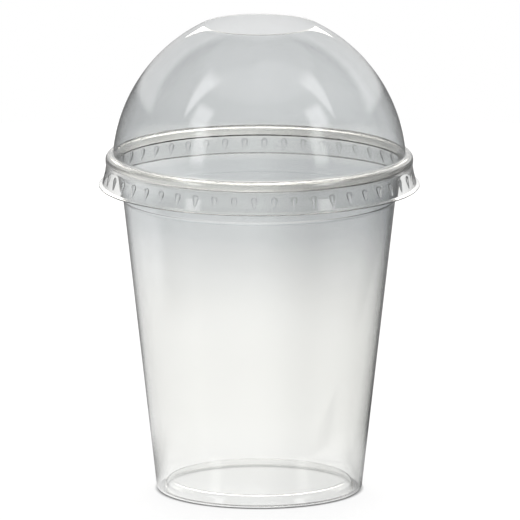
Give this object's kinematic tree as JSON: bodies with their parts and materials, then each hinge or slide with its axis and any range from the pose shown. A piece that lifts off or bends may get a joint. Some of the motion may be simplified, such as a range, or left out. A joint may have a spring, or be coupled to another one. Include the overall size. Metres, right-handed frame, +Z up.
{
  "type": "plastic cup with lid",
  "caption": "Clear tapered drinking cup with rolled rim, stacking shoulder and recessed base, and a flat-topped dome lid that snaps on with a lugged, flared skirt.",
  "frame": {"origin": "centre of the cup's foot, on the surface that it stands on", "axes": "+Z up along the axis of the cup and its lid; the part is round, so X and Y are free"},
  "size_m": [0.1006, 0.1006, 0.1479],
  "materials": {
    "cup_clear": "clear thermoformed sheet, gloss",
    "lid_clear": "clear thermoformed sheet, gloss"
  },
  "bodies": {
    "cup": {"cup": "cup_clear"},
    "lid": {"dome_lid": "lid_clear"}
  },
  "joints": [
    {"name": "lid_lift", "type": "slide", "parent": "cup", "child": "lid", "axis": [0, 0, 1], "range_m": [0, 0.11]}
  ]
}
